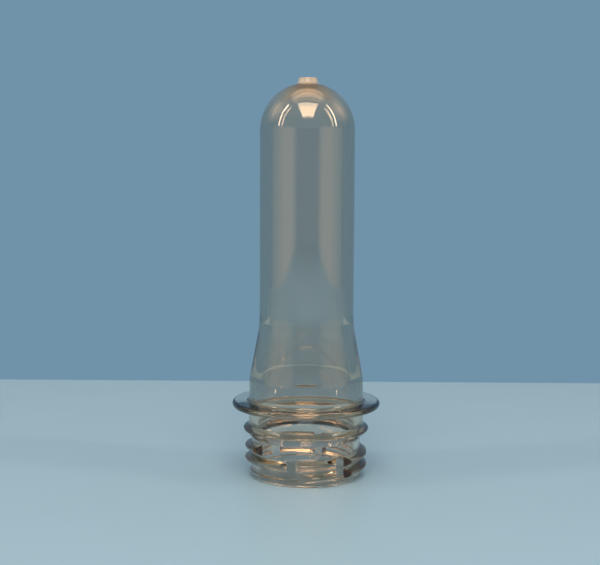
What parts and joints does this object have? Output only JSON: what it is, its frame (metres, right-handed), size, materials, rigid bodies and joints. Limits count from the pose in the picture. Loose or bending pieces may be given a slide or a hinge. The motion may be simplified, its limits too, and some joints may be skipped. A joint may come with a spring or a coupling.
{
  "type": "pet bottle preform",
  "caption": "Clear moulded bottle preform with a domed closed end, a flared shoulder, a support ring and an interrupted screw thread round its open mouth.",
  "frame": {"origin": "centre of the mouth plane, where the lip rests on a flat surface", "axes": "+Z along the preform's axis from the mouth to the closed end; -Y is the front, just after the thread's start; +X is to the right"},
  "size_m": [0.033, 0.033, 0.0882],
  "materials": {
    "clear_pet": "polished, transparent, moulded"
  },
  "bodies": {
    "root": {"preform": "clear_pet"}
  },
  "joints": []
}
